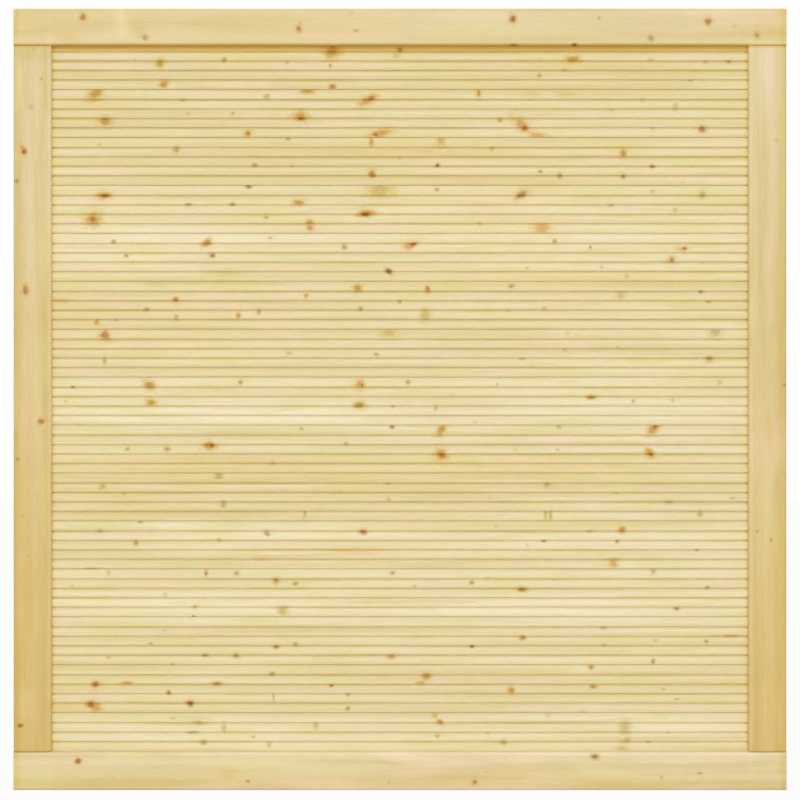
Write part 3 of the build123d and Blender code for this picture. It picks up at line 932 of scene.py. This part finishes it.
def board_outline(foot, shoulder, front, back, grooved):
    """The corners of a board's section, from its upper front edge down and round: y, z, radius, groove."""
    corners = [
        (front + JOINT_BEVEL, shoulder, FLOOR_ARRIS, None),
        (front, shoulder - JOINT_BEVEL, FLOOR_ARRIS, None),
    ]
    for groove in range(RIB_COUNT - 1):
        line = shoulder - TOP_RIB_HEIGHT - groove * RIB_PITCH
        if line - RIB_GROOVE_WIDTH / 2 <= OPENING_FOOT:
            break
        bottom = front + RIB_GROOVE_DEPTH
        corners += [
            (front, line + RIB_GROOVE_WIDTH / 2, RIB_ARRIS, groove),
            (bottom, line + RIB_GROOVE_FLOOR / 2, FLOOR_ARRIS, groove),
            (bottom, line - RIB_GROOVE_FLOOR / 2, FLOOR_ARRIS, groove),
            (front, line - RIB_GROOVE_WIDTH / 2, RIB_ARRIS, groove),
        ]
    if grooved:
        side = TONGUE_GROOVE_WIDTH / 2
        lip = foot + FRONT_JOINT_GAP
        corners += [
            (front, lip + JOINT_BEVEL, FLOOR_ARRIS, None),
            (front + JOINT_BEVEL, lip, FLOOR_ARRIS, None),
            (-side, lip, 0, None),
            (-side, foot + TONGUE_GROOVE_DEPTH, 0, None),
            (side, foot + TONGUE_GROOVE_DEPTH, 0, None),
            (side, foot, 0, None),
        ]
    else:
        corners.append((front, foot + JOINT_BEVEL, FLOOR_ARRIS, None))
        corners.append((front + JOINT_BEVEL, foot, FLOOR_ARRIS, None))
    side = TONGUE_THICKNESS / 2
    tip = shoulder + TONGUE_LENGTH
    corners += [
        (back, foot, BACK_ARRIS, None),
        (back, shoulder, BACK_ARRIS, None),
        (side, shoulder, 0, None),
        (side, tip, TONGUE_TIP_BEVEL, None),
        (-side, tip, TONGUE_TIP_BEVEL, None),
        (-side, shoulder, 0, None),
    ]
    return corners


def split_faces(points):
    """The same outline with its long runs split, so that faces are small enough to carry knots and washes."""
    finer = []
    for (y, z, groove), (next_y, next_z, _) in zip(points, points[1:] + points[:1]):
        finer.append((y, z, groove))
        run = math.dist((y, z), (next_y, next_z))
        steps = math.ceil(run / BOARD_CELL)
        for step in range(1, steps):
            share = step / steps
            finer.append((y + (next_y - y) * share, z + (next_z - z) * share, None))
    return finer


def slow_wave(rng, size):
    """A smooth wandering line along a board, made of a few long waves."""
    waves = [
        (rng.uniform(*WAVE_PACE), rng.uniform(0, math.tau), rng.uniform(*WAVE_WEIGHT))
        for _ in range(WAVE_COUNT)
    ]
    total = sum(weight for _, _, weight in waves)
    return lambda x: size * sum(weight * np.sin(pace * x + start) for pace, start, weight in waves) / total


def board_mesh(node, grooved, rng):
    """A board swept along its length, with grooves that wander a little as the cutter did."""
    low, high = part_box(node)
    outline = split_faces(round_corners(board_outline(low.z, high.z - TONGUE_LENGTH, low.y, high.y, grooved)))
    stations = np.linspace(low.x, high.x, round((high.x - low.x) / STATION_SPACING) + 1)
    sideways = [slow_wave(rng, GROOVE_WANDER) for _ in range(RIB_COUNT)]
    deeper = [slow_wave(rng, GROOVE_DEPTH_CHANGE) for _ in range(RIB_COUNT)]
    vertices = np.zeros((len(stations), len(outline), 3))
    vertices[:, :, 0] = stations[:, None]
    for index, (y, z, groove) in enumerate(outline):
        vertices[:, index, 1] = y
        vertices[:, index, 2] = z
        if groove is not None:
            sunk = (y - low.y) / RIB_GROOVE_DEPTH
            vertices[:, index, 1] += sunk * deeper[groove](stations)
            vertices[:, index, 2] += sideways[groove](stations)
    count = len(outline)
    faces = []
    for station in range(len(stations) - 1):
        here, there = station * count, (station + 1) * count
        for index in range(count):
            after = (index + 1) % count
            faces.append((here + index, here + after, there + after, there + index))
    faces.append(tuple(reversed(range(count))))
    last = (len(stations) - 1) * count
    faces.append(tuple(range(last, last + count)))
    mesh = bpy.data.meshes.new(f"{node}_timber")
    mesh.from_pydata(vertices.reshape(-1, 3).tolist(), [], faces)
    return mesh


def make_boards(knots):
    """The boards, from the foot up."""
    material = timber_material("board_wood", "X", BOARD_WOOD, BOARD_GRAIN, board_painted_shade)
    for index, node in enumerate(BOARD_NODES):
        rng = random.Random(index)
        low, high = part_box(node)
        pith_across = (low.z + high.z) / 2 + rng.uniform(-BOARD_PITH_ACROSS, BOARD_PITH_ACROSS)
        pith = (pith_across, rng.choice((-1, 1)) * rng.uniform(*BOARD_PITH_DEPTH))
        tone = BOARD_TONES.get(node, 0.0)
        mesh = board_mesh(node, index > 0, rng)
        carry(mesh, "shoulder", np.full(len(mesh.polygons), high.z - TONGUE_LENGTH))
        place_timber(mesh, node, material, knots[node], pith, tone, rng)


def screw_material():
    """Yellow zinc."""
    material = bpy.data.materials.new("screw_zinc")
    material.use_nodes = True
    tree = material.node_tree
    shader = tree.nodes["Principled BSDF"]
    place = add_node(tree, "TexCoord").outputs["Object"]
    cloud = stretched_noise(tree, place, ZINC_SCALE, (0, 0, 0))
    colour = colour_ramp(tree, cloud, list(zip(MIDDLE_NOISE, (ZINC_DULL, ZINC_BRIGHT))))
    feed(tree, shader.inputs["Base Color"], colour)
    shader.inputs["Metallic"].default_value = 1.0
    feed(tree, shader.inputs["Roughness"], remap(tree, cloud, *MIDDLE_NOISE, *ZINC_ROUGHNESS))
    bump = add_node(tree, "Bump", {**ZINC_BUMP, "Height": cloud})
    feed(tree, shader.inputs["Normal"], bump.outputs[0])
    return material


def screw_radius(depth, turn):
    """How far a screw's surface is from its axis, at a depth below the head and a share of a turn."""
    if depth <= SCREW_HEAD_HEIGHT:
        return SCREW_HEAD_RADIUS - depth
    if depth < SCREW_THREAD_START:
        return SCREW_SHANK_RADIUS
    ridge = abs((depth / SCREW_PITCH + turn) % 1 - 0.5) * 2
    height = max(0.0, 1 - ridge / SCREW_RIDGE_SHARE)
    taper = min(1.0, (SCREW_LENGTH - depth) / SCREW_TIP_LENGTH)
    return (SCREW_CORE_RADIUS + (SCREW_RADIUS - SCREW_CORE_RADIUS) * height) * taper


def screw_rings():
    """The rings of points that make a screw, from its recess over the head to its tip: radius, depth."""
    turns = [step / SCREW_SIDES for step in range(SCREW_SIDES)]
    star = [STAR_RADIUS + STAR_LOBE * math.cos(STAR_POINTS * turn * math.tau) for turn in turns]
    rings = [
        [(radius * STAR_TAPER, STAR_DEPTH) for radius in star],
        [(radius, STAR_EASE) for radius in star],
        [(radius + STAR_EASE, 0.0) for radius in star],
        [(SCREW_HEAD_RADIUS - 2 * SCREW_HEAD_EASE, 0.0)] * SCREW_SIDES,
    ]
    steps = round((SCREW_LENGTH - SCREW_TIP_EASE - SCREW_THREAD_START) / SCREW_STEP)
    threaded = np.linspace(SCREW_THREAD_START, SCREW_LENGTH - SCREW_TIP_EASE, steps + 1)
    for depth in (SCREW_HEAD_EASE, SCREW_HEAD_HEIGHT, SCREW_HEAD_HEIGHT + SCREW_STEP, *threaded):
        rings.append([(screw_radius(depth, turn), depth) for turn in turns])
    return rings


def add_screw(vertices, faces, rings, column, top, way):
    """Add a screw's points and faces: its column, the height of its head and the way that the head faces."""
    start = len(vertices)
    vertices.append((column, 0.0, top - way * STAR_DEPTH))
    for ring in rings:
        for step, (radius, depth) in enumerate(ring):
            angle = way * step / SCREW_SIDES * math.tau
            x = column + radius * math.cos(angle)
            vertices.append((x, radius * math.sin(angle), top - way * depth))
    vertices.append((column, 0.0, top - way * SCREW_LENGTH))
    end = len(vertices) - 1
    last = end - SCREW_SIDES
    for step in range(SCREW_SIDES):
        after = (step + 1) % SCREW_SIDES
        faces.append((start, start + 1 + step, start + 1 + after))
        for here in range(start + 1, last, SCREW_SIDES):
            there = here + SCREW_SIDES
            faces.append((here + step, there + step, there + after, here + after))
        faces.append((last + step, end, last + after))


def make_screws():
    """Wood screws with a star recess and a coarse thread, in the place of the plain ones."""
    low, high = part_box("corner_screws")
    rings = screw_rings()
    outer = high.x - SCREW_HEAD_RADIUS
    inner = outer - SCREW_SPACING
    vertices = []
    faces = []
    for top, way in ((high.z, 1), (low.z, -1)):
        for column in (outer, inner, -outer, -inner):
            add_screw(vertices, faces, rings, column, top, way)
    mesh = bpy.data.meshes.new("corner_screws_threaded")
    mesh.from_pydata(vertices, [], faces)
    piece = add_piece("corner_screws_threaded", mesh, screw_material())
    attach(piece, BODY)
    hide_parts("corner_screws")


def seen_directly(tree):
    """1 for camera, glossy and transmitted rays, which should find a white background."""
    path = add_node(tree, "LightPath").outputs
    seen = calculate(tree, "MAXIMUM", path["Is Camera Ray"], path["Is Glossy Ray"])
    return calculate(tree, "MAXIMUM", seen, path["Is Transmission Ray"])


def make_stage():
    """A pale floor that keeps the panel's shadow, and a white surround."""
    bpy.ops.mesh.primitive_plane_add(size=FLOOR_SIZE)
    floor = bpy.context.object
    floor.name = "floor"
    material = bpy.data.materials.new("floor_white")
    material.use_nodes = True
    tree = material.node_tree
    tree.nodes.clear()
    matt = add_node(tree, "BsdfDiffuse", {"Color": FLOOR_COLOUR}).outputs[0]
    glow = add_node(tree, "Emission", {"Color": WHITE, "Strength": 1.0}).outputs[0]
    share = times(tree, seen_directly(tree), FLOOR_GLOW)
    mixed = add_node(tree, "MixShader", {0: share, 1: matt, 2: glow}).outputs[0]
    add_node(tree, "OutputMaterial", {"Surface": mixed})
    floor.data.materials.append(material)

    world = bpy.data.worlds.new("studio")
    bpy.context.scene.world = world
    world.use_nodes = True
    tree = world.node_tree
    background = tree.nodes["Background"]
    background.inputs["Color"].default_value = WHITE
    seen = seen_directly(tree)
    feed(tree, background.inputs["Strength"], remap(tree, seen, 0.0, 1.0, WORLD_STRENGTH, 1.0))


def make_lamps():
    """Distant soft lamps."""
    for name, (strength, spread, turn) in LAMPS.items():
        lamp = bpy.data.lights.new(name, "SUN")
        lamp.energy = strength
        lamp.angle = math.radians(spread)
        add_object(name, lamp).rotation_euler = [math.radians(angle) for angle in turn]


def make_camera():
    """Straight in front of the panel, with a long lens, framed as the photograph is."""
    view_width = IMAGE_SIZE * METRES_PER_PIXEL
    front = cad_box[0][1]
    camera = bpy.data.cameras.new("camera")
    camera.sensor_width = SENSOR_WIDTH
    camera.lens = SENSOR_WIDTH * CAMERA_DISTANCE / view_width
    holder = add_object("camera", camera)
    x, z = panel_place(IMAGE_SIZE / 2, IMAGE_SIZE / 2)
    holder.location = (x, front - CAMERA_DISTANCE, z)
    holder.rotation_euler = (math.radians(90), 0, 0)
    bpy.context.scene.camera = holder


KNOTS_BY_TIMBER = sort_knots()
make_frame(KNOTS_BY_TIMBER)
make_boards(KNOTS_BY_TIMBER)
make_screws()
make_stage()
make_lamps()
make_camera()
bpy.context.scene.view_settings.view_transform = "Standard"
